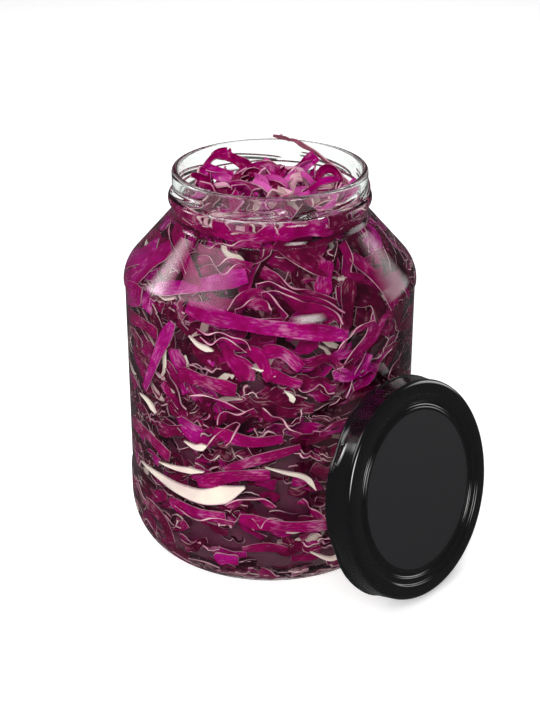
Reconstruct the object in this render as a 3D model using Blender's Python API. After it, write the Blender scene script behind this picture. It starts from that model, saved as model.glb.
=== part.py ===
"""A wide glass storage jar full of shredded red cabbage, with its twist-off lid leaning against it.

Units are metres and +Z is up. The jar stands on z = 0, the lid leans on the jar's +X side, and the
origin is on the floor at the middle of their common footprint.
"""

import math
import random

import bmesh
import bpy
from mathutils import Matrix, Vector

# Jar body. The heel is a quarter ellipse, and the shoulder a cone between two roundings.
JAR_HEIGHT = 0.2055
BODY_RADIUS = 0.0754
BODY_WALL = 0.0032
LABEL_PANEL_DEPTH = 0.0007
LABEL_PANEL_LOW = 0.0420
LABEL_PANEL_HIGH = 0.1470
LABEL_PANEL_EDGE = 0.0020
HEEL_WIDTH = 0.0184
HEEL_HEIGHT = 0.0270
BASE_THICKNESS = 0.0055
PUSH_UP = 0.0015
PUSH_UP_RADIUS = 0.0480
SHOULDER_HEIGHT = 0.1535
SHOULDER_ROUNDING = 0.0160
NECK_RADIUS = 0.0499
NECK_HEIGHT = 0.1825
NECK_ROUNDING = 0.0060

# Finish: the mouth with its lip, the lug threads and the bead under them.
MOUTH_RADIUS = 0.0459
FINISH_RADIUS = 0.0493
LIP_ROUNDING = 0.0016
BEAD_HEIGHT = 0.1908
BEAD_RADIUS = 0.0515
BEAD_HALF_WIDTH = 0.0026
LUG_COUNT = 7
LUG_SPAN = math.radians(45)
LUG_RISE = 0.0042
LUG_TOP_HEIGHT = 0.1982
LUG_HALF_WIDTH = 0.0014
LUG_STAND_OUT = 0.0013
LUG_UPPER_END = math.radians(-39)
LUG_STEPS = 8
JAR_SIDES = 44

# Lid: a pressed metal cap with a rolled edge, which its lugs press inwards.
LID_RADIUS = 0.0570
LID_HEIGHT = 0.0148
LID_SHEET = 0.0009
LID_TOP_RADIUS = 0.0558
CURL_RADIUS = 0.0017
SHOULDER_LAND_RADIUS = 0.0490
STEP_DEPTH = 0.0012
GROOVE_RADIUS = 0.0436
GROOVE_DEPTH = 0.0008
PANEL_RADIUS = 0.0416
LID_LUG_DENT = 0.0011
LID_LUG_REACH = 0.0022
LID_LUG_SPAN = math.radians(18)
LID_SIDES = 49
LID_TILT = math.radians(12)

# Cabbage. The core fills the jar to within the thickness of the outer shreds.
TOUCH_GAP = 0.0003
GLASS_GAP = 0.0008
CORE_INSET = 0.0034
CORE_SIDES = 24
CORE_FLOOR = 0.0012
PILE_HEIGHT = 0.1872
PILE_DOME = 0.0056
PILE_SHRED_TOP = 0.1985
PILE_BUMP = 0.0016
SHRED_THICKNESS = 0.0018
SHRED_STEPS = 4
WALL_SHREDS = 56
WALL_SHRED_LOW = 0.0140
WALL_SHRED_HIGH = 0.1760
PILE_SHREDS = 20
PILE_SHRED_REACH = 0.0330
PILE_SHRED_GAP = 0.0090
SEED = 11

COLOURS = {
    "glass": ((0.93, 0.97, 0.95), 0.02, 0.0),
    "black_enamel": ((0.012, 0.012, 0.015), 0.16, 0.0),
    "red_cabbage": ((0.23, 0.015, 0.11), 0.38, 0.0),
}


def clear_scene():
    for thing in list(bpy.data.objects):
        bpy.data.objects.remove(thing)


def finish_material(name):
    colour, roughness, metallic = COLOURS[name]
    material = bpy.data.materials.get(name) or bpy.data.materials.new(name)
    material.use_nodes = True
    shader = material.node_tree.nodes["Principled BSDF"]
    shader.inputs["Base Color"].default_value = (*colour, 1)
    shader.inputs["Roughness"].default_value = roughness
    shader.inputs["Metallic"].default_value = metallic
    return material


def add_object(name, mesh_builder, material_name, parent=None):
    """Turns a bmesh into a named object with one finish."""
    bmesh.ops.recalc_face_normals(mesh_builder, faces=mesh_builder.faces)
    mesh = bpy.data.meshes.new(name)
    mesh_builder.to_mesh(mesh)
    mesh_builder.free()
    mesh.materials.append(finish_material(material_name))
    thing = bpy.data.objects.new(name, mesh)
    bpy.context.scene.collection.objects.link(thing)
    thing.parent = parent
    return thing


def add_empty(name, parent=None):
    empty = bpy.data.objects.new(name, None)
    bpy.context.scene.collection.objects.link(empty)
    empty.parent = parent
    return empty


def shade_round(thing):
    thing.data.shade_smooth()
    thing.data.set_sharp_from_angle(angle=math.radians(35))


def arc(centre, radii, start_deg, end_deg, steps):
    """Points of an elliptical arc in the (r, z) plane, both ends included."""
    points = []
    for k in range(steps + 1):
        angle = math.radians(start_deg + (end_deg - start_deg) * k / steps)
        points.append((centre[0] + radii[0] * math.cos(angle), centre[1] + radii[1] * math.sin(angle)))
    return points


def fillet(before, corner, after, radius, steps):
    """Points of the arc that rounds a corner between two straight runs, in the (r, z) plane."""
    before, corner, after = Vector(before), Vector(corner), Vector(after)
    back, on = (before - corner).normalized(), (after - corner).normalized()
    half = back.angle(on) / 2
    centre = corner + (back + on).normalized() * (radius / math.sin(half))
    first = corner + back * (radius / math.tan(half)) - centre
    last = corner + on * (radius / math.tan(half)) - centre
    turn = math.atan2(first.x * last.y - first.y * last.x, first.dot(last))
    points = []
    for k in range(steps + 1):
        c, s = math.cos(turn * k / steps), math.sin(turn * k / steps)
        points.append((centre.x + first.x * c - first.y * s, centre.y + first.x * s + first.y * c))
    return points


def turned(outline, sides):
    """A closed body turned about Z from an outline of (r, z) points that begins and ends on the axis."""
    mesh = bmesh.new()
    verts = [mesh.verts.new((r, 0, z)) for r, z in outline]
    edges = [mesh.edges.new(pair) for pair in zip(verts, verts[1:])]
    bmesh.ops.spin(
        mesh,
        geom=verts + edges,
        axis=(0, 0, 1),
        cent=(0, 0, 0),
        angle=math.tau,
        steps=sides,
        use_merge=True,
    )
    bmesh.ops.remove_doubles(mesh, verts=mesh.verts, dist=1e-6)
    return mesh


def ribbon(centres, sides, normals, widths, thickness):
    """A closed strip of four-cornered sections along a path, widest along sides, thin along normals."""
    mesh = bmesh.new()
    sections = []
    for centre, side, normal, width in zip(centres, sides, normals, widths):
        across, out = side * (width / 2), normal * (thickness / 2)
        corners = (centre - across - out, centre + across - out, centre + across + out, centre - across + out)
        sections.append([mesh.verts.new(corner) for corner in corners])
    for here, there in zip(sections, sections[1:]):
        for k in range(4):
            mesh.faces.new((here[k], here[(k + 1) % 4], there[(k + 1) % 4], there[k]))
    mesh.faces.new(sections[0])
    mesh.faces.new(sections[-1])
    bmesh.ops.recalc_face_normals(mesh, faces=mesh.faces)
    return mesh


def keep_main_body(mesh):
    """Removes every shell but the largest, which fills sealed hollows and drops loose scraps."""
    shape = bmesh.new()
    shape.from_mesh(mesh)
    bmesh.ops.triangulate(shape, faces=shape.faces)
    unseen = set(shape.faces)
    shells = []
    while unseen:
        shell, queue = [], [unseen.pop()]
        while queue:
            face = queue.pop()
            shell.append(face)
            for edge in face.edges:
                for beside in edge.link_faces:
                    if beside in unseen:
                        unseen.remove(beside)
                        queue.append(beside)
        shells.append(shell)
    shells.sort(key=len)
    for shell in shells[:-1]:
        bmesh.ops.delete(shape, geom=shell, context="FACES")
    shape.to_mesh(mesh)
    shape.free()


def union(thing, pieces):
    """Fuses the pieces onto thing with one applied Boolean, then removes them."""
    collection = bpy.data.collections.new(thing.name + "_pieces")
    bpy.context.scene.collection.children.link(collection)
    for piece in pieces:
        for home in list(piece.users_collection):
            home.objects.unlink(piece)
        collection.objects.link(piece)
    join = thing.modifiers.new("fuse", "BOOLEAN")
    join.operation = "UNION"
    join.operand_type = "COLLECTION"
    join.collection = collection
    join.solver = "MANIFOLD"
    with bpy.context.temp_override(object=thing, active_object=thing):
        bpy.ops.object.modifier_apply(modifier=join.name)
    for piece in list(collection.objects):
        bpy.data.objects.remove(piece)
    bpy.data.collections.remove(collection)
    keep_main_body(thing.data)


def outer_outline():
    """The outside of the jar, from the middle of its base up to the top of its lip."""
    bearing = BODY_RADIUS - HEEL_WIDTH
    wall_foot = (BODY_RADIUS, HEEL_HEIGHT)
    corner = (BODY_RADIUS, SHOULDER_HEIGHT)
    neck = (NECK_RADIUS, NECK_HEIGHT)
    bead_foot = BEAD_HEIGHT - BEAD_HALF_WIDTH
    bead_top = BEAD_HEIGHT + BEAD_HALF_WIDTH
    points = [(0, PUSH_UP), (PUSH_UP_RADIUS, PUSH_UP), (PUSH_UP_RADIUS + 2 * PUSH_UP, 0)]
    points += arc((bearing, HEEL_HEIGHT), (HEEL_WIDTH, HEEL_HEIGHT), -90, 0, 7)
    for side, height in ((1, LABEL_PANEL_LOW), (-1, LABEL_PANEL_HIGH)):
        ends = [
            (BODY_RADIUS, height - side * LABEL_PANEL_EDGE / 2),
            (BODY_RADIUS - LABEL_PANEL_DEPTH, height + side * LABEL_PANEL_EDGE / 2),
        ]
        points += ends[::side]
    points += fillet(wall_foot, corner, neck, SHOULDER_ROUNDING, 4)
    points += fillet(corner, neck, (NECK_RADIUS, bead_foot), NECK_ROUNDING, 3)
    points += [(NECK_RADIUS, bead_foot)]
    points += arc((NECK_RADIUS, BEAD_HEIGHT), (BEAD_RADIUS - NECK_RADIUS, BEAD_HALF_WIDTH), -60, 60, 3)
    points += [(FINISH_RADIUS, bead_top)]
    return points + arc(
        (FINISH_RADIUS - LIP_ROUNDING, JAR_HEIGHT - LIP_ROUNDING), (LIP_ROUNDING, LIP_ROUNDING), 0, 90, 3
    )


def inner_outline():
    """The inside of the jar, from the top of its lip down to the middle of its floor."""
    radius = BODY_RADIUS - BODY_WALL
    floor = PUSH_UP + BASE_THICKNESS
    lip = arc(
        (MOUTH_RADIUS + LIP_ROUNDING, JAR_HEIGHT - LIP_ROUNDING), (LIP_ROUNDING, LIP_ROUNDING), 90, 180, 3
    )
    # The inner cone runs parallel to the outer one, a wall's thickness inside it.
    lean = math.atan2(BODY_RADIUS - NECK_RADIUS, NECK_HEIGHT - SHOULDER_HEIGHT)
    drop = BODY_WALL * math.tan(math.pi / 4 - lean / 2)
    corner = (radius, SHOULDER_HEIGHT - drop)
    neck_height = corner[1] + (radius - MOUTH_RADIUS) / math.tan(lean)
    neck = (MOUTH_RADIUS, neck_height)
    points = lip + fillet(lip[-1], neck, corner, NECK_ROUNDING, 3)
    points += fillet(neck, corner, (radius, HEEL_HEIGHT), SHOULDER_ROUNDING - BODY_WALL, 4)
    points += arc((radius - HEEL_WIDTH, HEEL_HEIGHT), (HEEL_WIDTH, HEEL_HEIGHT - floor), 0, -90, 6)
    return points + [(0, floor)]


def inside_radius(height):
    """The jar's inner radius at a height, read off the inner outline."""
    outline = inner_outline()
    for (r_high, z_high), (r_low, z_low) in zip(outline, outline[1:]):
        if z_low <= height <= z_high and z_high > z_low:
            return r_low + (r_high - r_low) * (height - z_low) / (z_high - z_low)
    return MOUTH_RADIUS if height > NECK_HEIGHT else 0.0


def thread_lug(index, parent):
    """One short thread ridge. It climbs with a right-hand turn and fades into the wall at both ends."""
    upper = LUG_UPPER_END + index * math.tau / LUG_COUNT
    mesh = bmesh.new()
    sections = []
    for k in range(LUG_STEPS + 1):
        share = k / LUG_STEPS
        angle = upper - LUG_SPAN * (1 - share)
        height = LUG_TOP_HEIGHT - LUG_RISE * (1 - share)
        fade = min(1.0, 4 * share, 4 * (1 - share))
        tip = FINISH_RADIUS + LUG_STAND_OUT * (0.15 + 0.85 * fade)
        root = FINISH_RADIUS - BODY_WALL / 3
        outline = (
            (root, -LUG_HALF_WIDTH),
            (tip, -LUG_HALF_WIDTH / 3),
            (tip, LUG_HALF_WIDTH / 3),
            (root, LUG_HALF_WIDTH),
        )
        turn = Matrix.Rotation(angle, 3, "Z")
        sections.append([mesh.verts.new(turn @ Vector((r, 0, height + z))) for r, z in outline])
    for here, there in zip(sections, sections[1:]):
        for k in range(4):
            mesh.faces.new((here[k], here[(k + 1) % 4], there[(k + 1) % 4], there[k]))
    mesh.faces.new(sections[0])
    mesh.faces.new(sections[-1])
    return add_object(f"lug_{index}", mesh, "glass", parent)


def build_jar(parent):
    jar = add_object("jar", turned(outer_outline() + inner_outline(), JAR_SIDES), "glass", parent)
    union(jar, [thread_lug(k, parent) for k in range(LUG_COUNT)])
    shade_round(jar)
    return jar


def lid_outline():
    """The lid's section, from the middle of its inside, down round the rolled edge and over its top."""
    inner_top = LID_HEIGHT - LID_SHEET
    skirt_in = LID_RADIUS - 2 * CURL_RADIUS
    curl = (LID_RADIUS - CURL_RADIUS, CURL_RADIUS)
    crown = 0.0018
    return [
        (0, inner_top - STEP_DEPTH),
        (PANEL_RADIUS, inner_top - STEP_DEPTH),
        (GROOVE_RADIUS, inner_top - STEP_DEPTH - GROOVE_DEPTH),
        (GROOVE_RADIUS + 2 * GROOVE_DEPTH, inner_top - STEP_DEPTH),
        (SHOULDER_LAND_RADIUS - STEP_DEPTH, inner_top - STEP_DEPTH),
        (SHOULDER_LAND_RADIUS, inner_top),
        (LID_TOP_RADIUS - LID_SHEET - crown / 2, inner_top),
        (LID_TOP_RADIUS - LID_SHEET, inner_top - crown),
        (skirt_in + CURL_RADIUS / 2, 3 * CURL_RADIUS),
        *arc(curl, (CURL_RADIUS, CURL_RADIUS), 170, 400, 6),
        (LID_TOP_RADIUS + CURL_RADIUS / 4, 3 * CURL_RADIUS),
        *arc((LID_TOP_RADIUS - crown, LID_HEIGHT - crown), (crown, crown), 0, 90, 3),
        (SHOULDER_LAND_RADIUS, LID_HEIGHT),
        (SHOULDER_LAND_RADIUS - STEP_DEPTH, LID_HEIGHT - STEP_DEPTH),
        (GROOVE_RADIUS + 2 * GROOVE_DEPTH, LID_HEIGHT - STEP_DEPTH),
        (GROOVE_RADIUS, LID_HEIGHT - STEP_DEPTH - GROOVE_DEPTH),
        (PANEL_RADIUS, LID_HEIGHT - STEP_DEPTH),
        (0, LID_HEIGHT - STEP_DEPTH),
    ]


def press_lid_lugs(mesh):
    """Pushes the rolled edge inwards over each of the lid's lugs."""
    for vert in mesh.verts:
        radius = math.hypot(vert.co.x, vert.co.y)
        if vert.co.z > 2.2 * CURL_RADIUS or radius < SHOULDER_LAND_RADIUS:
            continue
        pitch = math.tau / LUG_COUNT
        off_lug = (math.atan2(vert.co.y, vert.co.x) + pitch / 2) % pitch - pitch / 2
        share = (LID_RADIUS - radius) / (2 * CURL_RADIUS)
        push = (LID_LUG_DENT + LID_LUG_REACH * share) * math.exp(-((off_lug / (LID_LUG_SPAN / 2)) ** 2))
        vert.co.x -= vert.co.x / radius * push
        vert.co.y -= vert.co.y / radius * push


def build_lid(parent):
    """The lid stands on its rolled edge and leans back until that edge touches the jar."""
    mesh = turned(lid_outline(), LID_SIDES)
    press_lid_lugs(mesh)
    ring = LID_RADIUS - CURL_RADIUS
    lean, rise = math.sin(LID_TILT), math.cos(LID_TILT)
    prop = add_empty("lid_prop", parent)
    prop.location = (
        BODY_RADIUS + TOUCH_GAP + CURL_RADIUS * (1 - rise) + ring * lean,
        0,
        ring * rise + CURL_RADIUS * (1 - lean),
    )
    prop.rotation_euler = (0, math.pi / 2 - LID_TILT, 0)
    lid = add_object("lid", mesh, "black_enamel", prop)
    lid.rotation_euler = (0, 0, math.pi / LUG_COUNT)
    shade_round(lid)
    return lid


def clear_of_glass(point, gap=GLASS_GAP):
    """The point, moved straight inwards where it would be nearer than gap to the glass."""
    radius = math.hypot(point.x, point.y)
    limit = inside_radius(point.z) - gap
    if radius <= limit:
        return point
    return Vector((point.x * limit / radius, point.y * limit / radius, point.z))


def pile_height(radius, angle):
    """The uneven top of the cabbage, domed towards its middle."""
    bumps = math.sin(3 * angle + 0.7) * math.cos(140 * radius) + 0.6 * math.sin(5 * angle + 220 * radius)
    return PILE_HEIGHT + PILE_DOME * (1 - radius / MOUTH_RADIUS) + PILE_BUMP * bumps


def heap_core(parent):
    """The packed middle of the cabbage, the shape of the jar's inside less the outer shreds."""
    floor = PUSH_UP + BASE_THICKNESS + CORE_FLOOR
    heights = [floor, 0.011, 0.018, 0.030, 0.088, 0.140, 0.148, 0.156, 0.165, 0.174]
    outline = [(0, floor)]
    outline += [(inside_radius(z + CORE_FLOOR) - CORE_INSET, z) for z in heights]
    rim = MOUTH_RADIUS - CORE_INSET
    outline += [(rim * share, PILE_HEIGHT) for share in (1.0, 0.75, 0.45, 0.2, 0)]
    mesh = turned(outline, CORE_SIDES)
    for vert in mesh.verts:
        if vert.co.z > PILE_HEIGHT - 0.001:
            vert.co.z = pile_height(math.hypot(vert.co.x, vert.co.y), math.atan2(vert.co.y, vert.co.x))
    return add_object("cabbage_heap", mesh, "red_cabbage", parent)


def wall_shred(index, draw, parent):
    """A shred pressed flat between the core and the glass, at its own slope. Its back is in the core."""
    height = draw.uniform(WALL_SHRED_LOW, WALL_SHRED_HIGH)
    angle = index * math.tau * 0.381966 + draw.uniform(-0.2, 0.2)
    slope = math.radians(draw.gauss(0, 38))
    length = draw.uniform(0.026, 0.062)
    width = draw.uniform(0.006, 0.011)
    face_depth = GLASS_GAP + draw.uniform(0.0001, 0.0018)
    back_depth = CORE_INSET + 0.0010
    centres, sides, normals, widths = [], [], [], []
    for k in range(SHRED_STEPS + 1):
        along = length * (k / SHRED_STEPS - 0.5)
        z = min(max(height + along * math.sin(slope), 0.010), 0.1785)
        radius = inside_radius(z)
        here = angle + along * math.cos(slope) / radius
        steep = math.atan2(inside_radius(z - 0.001) - inside_radius(z + 0.001), 0.002)
        out = Vector((math.cos(here) * math.cos(steep), math.sin(here) * math.cos(steep), math.sin(steep)))
        round_way = Vector((-math.sin(here), math.cos(here), 0))
        up_way = out.cross(round_way)
        sides.append(up_way * math.cos(slope) - round_way * math.sin(slope))
        normals.append(out)
        surface = Vector((radius * math.cos(here), radius * math.sin(here), z))
        centres.append(surface - out * (face_depth + back_depth) / 2)
        widths.append(width * (0.75 + 0.25 * math.sin(math.pi * k / SHRED_STEPS)))
    mesh = ribbon(centres, sides, normals, widths, back_depth - face_depth)
    for vert in mesh.verts:
        vert.co = clear_of_glass(vert.co)
    return add_object(f"wall_shred_{index}", mesh, "red_cabbage", parent)


def pile_shred(index, draw, parent):
    """A shred that grows out of the top of the heap, leans over and curls."""
    angle = index * math.tau * 0.381966
    radius = PILE_SHRED_REACH * math.sqrt((index + 0.5) / PILE_SHREDS)
    foot = Vector((radius * math.cos(angle), radius * math.sin(angle), 0))
    foot.z = pile_height(radius, angle) - 0.004
    heading = draw.uniform(0, math.tau)
    forward = Vector((math.cos(heading), math.sin(heading), 0))
    side = Vector((-forward.y, forward.x, 0))
    length = draw.uniform(0.014, 0.023)
    lean, curl = math.radians(draw.uniform(15, 50)), math.radians(draw.uniform(50, 120))
    width = draw.uniform(0.005, 0.009)
    centre = foot
    centres, normals, widths = [], [], []
    for k in range(SHRED_STEPS + 1):
        share = k / SHRED_STEPS
        pitch = lean + curl * share
        way = forward * math.sin(pitch) + Vector((0, 0, math.cos(pitch)))
        centres.append(centre.copy())
        normals.append(side.cross(way))
        widths.append(width * (1 - 0.35 * share))
        centre = centre + way * (length / SHRED_STEPS)
    mesh = ribbon(centres, [side] * len(centres), normals, widths, SHRED_THICKNESS)
    for vert in mesh.verts:
        vert.co.z = min(vert.co.z, PILE_SHRED_TOP)
        vert.co = clear_of_glass(vert.co, PILE_SHRED_GAP)
    return add_object(f"pile_shred_{index}", mesh, "red_cabbage", parent)


def build_heap(parent):
    draw = random.Random(SEED)
    heap = heap_core(parent)
    pieces = [wall_shred(k, draw, parent) for k in range(WALL_SHREDS)]
    pieces += [pile_shred(k, draw, parent) for k in range(PILE_SHREDS)]
    union(heap, pieces)
    return heap


def on_curve(points, share):
    """A point of the smooth curve through the given points, by Catmull-Rom."""
    spans = len(points) - 1
    k = min(int(share * spans), spans - 1)
    t = share * spans - k
    a, b, c, d = (points[min(max(k + step, 0), spans)] for step in (-1, 0, 1, 2))
    return 0.5 * (2 * b + (c - a) * t + (2 * a - 5 * b + 4 * c - d) * t**2 + (3 * b - a - 3 * c + d) * t**3)


def build_loose_shred(parent):
    """A long thin shred that comes up out of the heap and lies over the far side of the lip."""
    # Angle about the jar, distance from its axis and height of each point that it passes.
    route = (
        (51, 0.0400, 0.1922),
        (64, 0.0395, 0.1957),
        (86, 0.0398, 0.2000),
        (108, 0.0425, 0.2048),
        (120, 0.0455, 0.2066),
        (130, 0.0502, 0.2067),
    )
    points = [
        Vector((r * math.cos(math.radians(a)), r * math.sin(math.radians(a)), z)) for a, r, z in route
    ]
    steps = 12
    centres = [on_curve(points, k / steps) for k in range(steps + 1)]
    sides, normals, widths = [], [], []
    for k, centre in enumerate(centres):
        way = (centres[min(k + 1, steps)] - centres[max(k - 1, 0)]).normalized()
        inwards = Vector((-centre.x, -centre.y, 0)).normalized()
        normal = (inwards - way * inwards.dot(way)).normalized()
        sides.append(way.cross(normal))
        normals.append(normal)
        widths.append(0.0032 - 0.0018 * k / steps)
    shred = add_object(
        "loose_shred", ribbon(centres, sides, normals, widths, 0.0010), "red_cabbage", parent
    )
    return shred


def centre_footprint(stand):
    """Moves the whole along X so that the middle of its footprint is the origin."""
    bpy.context.view_layer.update()
    reach = [
        (thing.matrix_world @ vert.co).x
        for thing in stand.children_recursive
        if thing.type == "MESH"
        for vert in thing.data.vertices
    ]
    stand.location.x = -(min(reach) + max(reach)) / 2


def main():
    clear_scene()
    stand = add_empty("stand")
    build_jar(stand)
    build_lid(stand)
    build_heap(stand)
    build_loose_shred(stand)
    centre_footprint(stand)


main()
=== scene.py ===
"""How the storage jar of shredded red cabbage looks: clear glass, purple shreds and a black metal lid."""

import math
import random

import bpy
import numpy as np
from mathutils import Matrix, Vector


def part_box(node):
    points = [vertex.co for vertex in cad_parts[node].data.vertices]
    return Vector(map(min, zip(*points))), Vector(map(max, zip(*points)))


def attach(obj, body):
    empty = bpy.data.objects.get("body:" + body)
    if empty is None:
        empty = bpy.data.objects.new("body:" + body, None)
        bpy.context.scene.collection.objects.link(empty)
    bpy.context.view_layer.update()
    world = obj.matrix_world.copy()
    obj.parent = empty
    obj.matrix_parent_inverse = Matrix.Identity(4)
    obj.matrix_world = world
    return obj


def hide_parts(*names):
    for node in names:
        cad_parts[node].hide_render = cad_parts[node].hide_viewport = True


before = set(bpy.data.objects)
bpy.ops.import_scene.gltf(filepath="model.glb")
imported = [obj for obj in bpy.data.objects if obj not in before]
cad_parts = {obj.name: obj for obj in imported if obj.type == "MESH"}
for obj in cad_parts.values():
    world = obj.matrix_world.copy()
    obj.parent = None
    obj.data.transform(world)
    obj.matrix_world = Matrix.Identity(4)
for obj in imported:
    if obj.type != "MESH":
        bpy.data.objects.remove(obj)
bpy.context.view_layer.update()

# The jar's outside, as in the CAD.
JAR_HEIGHT = 0.2055
BODY_RADIUS = 0.0754
BODY_WALL = 0.0032
PANEL_DEPTH = 0.0007
PANEL_LOW = 0.0420
PANEL_HIGH = 0.1470
PANEL_EDGE = 0.0030
HEEL_WIDTH = 0.0184
HEEL_HEIGHT = 0.0270
PUSH_UP = 0.0015
PUSH_UP_RADIUS = 0.0480
SHOULDER_HEIGHT = 0.1535
SHOULDER_ROUNDING = 0.0160
NECK_RADIUS = 0.0499
NECK_HEIGHT = 0.1825
NECK_ROUNDING = 0.0060
MOUTH_RADIUS = 0.0459
FINISH_RADIUS = 0.0493
LIP_ROUNDING = 0.0016
BEAD_HEIGHT = 0.1908
BEAD_RADIUS = 0.0515
BEAD_HALF_WIDTH = 0.0026
LUG_COUNT = 7
LUG_SPAN = math.radians(45)
LUG_RISE = 0.0042
LUG_TOP_HEIGHT = 0.1982
LUG_HALF_WIDTH = 0.0014
LUG_STAND_OUT = 0.0012
LUG_UPPER_END = math.radians(-39)

# The glass is thinner inside its foot and heel than in the CAD, so that the cabbage shows down to where
# the real jar's heavy foot magnifies it.
FLOOR = 0.0038
HEEL_THINNING = 0.0012
# Leaf lies against the inner face up to here and keeps it moist.
MOIST_TOP = 0.1865

# The lid, as in the CAD.
LID_RADIUS = 0.0570
LID_HEIGHT = 0.0148
LID_SHEET = 0.0009
LID_TOP_RADIUS = 0.0558
CURL_RADIUS = 0.0017
LAND_RADIUS = 0.0490
STEP_DEPTH = 0.0012
GROOVE_RADIUS = 0.0436
GROOVE_DEPTH = 0.0008
LID_PANEL_RADIUS = 0.0416
LID_LUG_DENT = 0.0011
LID_LUG_REACH = 0.0022
LID_LUG_SPAN = math.radians(18)
LID_TILT = math.radians(12)
TOUCH_GAP = 0.0003

# How many sides the turned shapes have.
SIDES = 168

# The heap: where its shreds end on the wall, the level of its top, how far that rises in the middle, and
# how far its shreds reach into the glass, so that no air shows.
HEAP_EDGE_HEIGHT = 0.1915
PILE_LEVEL = 0.1872
PILE_DOME = 0.0048
GLASS_REACH = 0.00015
SHRED_THICKNESS = 0.0010

# The photo's camera, which stands this far round from the -Y side towards +X.
CAMERA_TURN = math.radians(42)
CAMERA_DISTANCE = 0.798
CAMERA_PITCH = math.radians(25.17)
CAMERA_TARGET_HEIGHT = 0.0985
CAMERA_LENS = 75.2
CAMERA_SIDE = CAMERA_TURN - math.pi / 2

# The jar stands this far along X.
JAR_LOW, JAR_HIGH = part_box("jar")
JAR_X = (JAR_LOW[0] + JAR_HIGH[0]) / 2


class Value:
    """A socket of one material's node tree, with arithmetic."""

    def __init__(self, graph, socket):
        self.graph = graph
        self.socket = socket

    def math(self, operation, *others):
        node = self.graph.tree.nodes.new("ShaderNodeMath")
        node.operation = operation
        for place, value in enumerate((self, *others)):
            self.graph.feed(node.inputs[place], value)
        return Value(self.graph, node.outputs[0])

    def __add__(self, other):
        return self.math("ADD", other)

    def __radd__(self, other):
        return self.math("ADD", other)

    def __sub__(self, other):
        return self.math("SUBTRACT", other)

    def __rsub__(self, other):
        return self.graph.number(other).math("SUBTRACT", self)

    def __mul__(self, other):
        return self.math("MULTIPLY", other)

    def __rmul__(self, other):
        return self.math("MULTIPLY", other)

    def between(self, start, end):
        """0 below start, 1 above end and a smooth rise between them."""
        return self.graph.node(
            "ShaderNodeMapRange",
            {"interpolation_type": "SMOOTHSTEP"},
            {"Value": self, "From Min": start, "From Max": end},
        )


class Graph:
    """Builds the node tree of one material."""

    def __init__(self, name):
        self.material = bpy.data.materials.new(name)
        self.material.use_nodes = True
        self.tree = self.material.node_tree
        self.tree.nodes.clear()

    def feed(self, socket, value):
        if isinstance(value, Value):
            self.tree.links.new(value.socket, socket)
        else:
            socket.default_value = value

    def node(self, kind, settings=None, inputs=None, output=0):
        node = self.tree.nodes.new(kind)
        for name, value in (settings or {}).items():
            setattr(node, name, value)
        for name, value in (inputs or {}).items():
            self.feed(node.inputs[name], value)
        return Value(self, node.outputs[output])

    def number(self, value):
        result = self.node("ShaderNodeValue")
        result.socket.default_value = value
        return result

    def noise(self, scale, detail=3.0, roughness=0.5, vector=None):
        inputs = {"Scale": scale, "Detail": detail, "Roughness": roughness}
        inputs["Vector"] = vector or self.node("ShaderNodeTexCoord", output="Object")
        return self.node("ShaderNodeTexNoise", None, inputs)

    def mix(self, share, first, second):
        return self.node(
            "ShaderNodeMix",
            {"data_type": "RGBA"},
            {0: share, 6: first, 7: second},
            output=2,
        )

    def ramp(self, share, stops):
        result = self.node("ShaderNodeValToRGB", None, {"Fac": share})
        ramp = result.socket.node.color_ramp
        while len(ramp.elements) < len(stops):
            ramp.elements.new(0.5)
        for element, (place, colour) in zip(ramp.elements, stops):
            element.position = place
            element.color = (*colour, 1)
        return result

    def attribute(self, name):
        return self.node("ShaderNodeAttribute", {"attribute_name": name}, output="Fac")

    def bump(self, height, strength, distance):
        return self.node(
            "ShaderNodeBump", None, {"Height": height, "Strength": strength, "Distance": distance}
        )

    def finish(self, shader):
        output = self.tree.nodes.new("ShaderNodeOutputMaterial")
        self.tree.links.new(shader.socket, output.inputs["Surface"])
        return self.material


def rgb(red, green, blue):
    """A linear colour from the usual 0 to 255 values."""

    def linear(value):
        value = value / 255
        return value / 12.92 if value <= 0.04045 else ((value + 0.055) / 1.055) ** 2.4

    return linear(red), linear(green), linear(blue)


def glass_material(name, bend, mirror):
    """Clear glass. Where moist leaf lies against it, it bends light less and mirrors next to nothing."""
    graph = Graph(name)
    glass = graph.node(
        "ShaderNodeBsdfPrincipled",
        None,
        {
            "Base Color": (0.86, 0.915, 0.88, 1),
            "Roughness": 0.0,
            "IOR": bend,
            "Specular Tint": (mirror, mirror, mirror, 1),
            "Transmission Weight": 1.0,
        },
    )
    clear = graph.node("ShaderNodeBsdfTransparent", None, {"Color": (0.94, 0.96, 0.95, 1)})
    shadow = graph.node("ShaderNodeLightPath", output="Is Shadow Ray")
    diffuse = graph.node("ShaderNodeLightPath", output="Is Diffuse Ray")
    through = shadow.math("MAXIMUM", diffuse)
    return graph.finish(graph.node("ShaderNodeMixShader", None, {0: through, 1: glass, 2: clear}))


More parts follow.
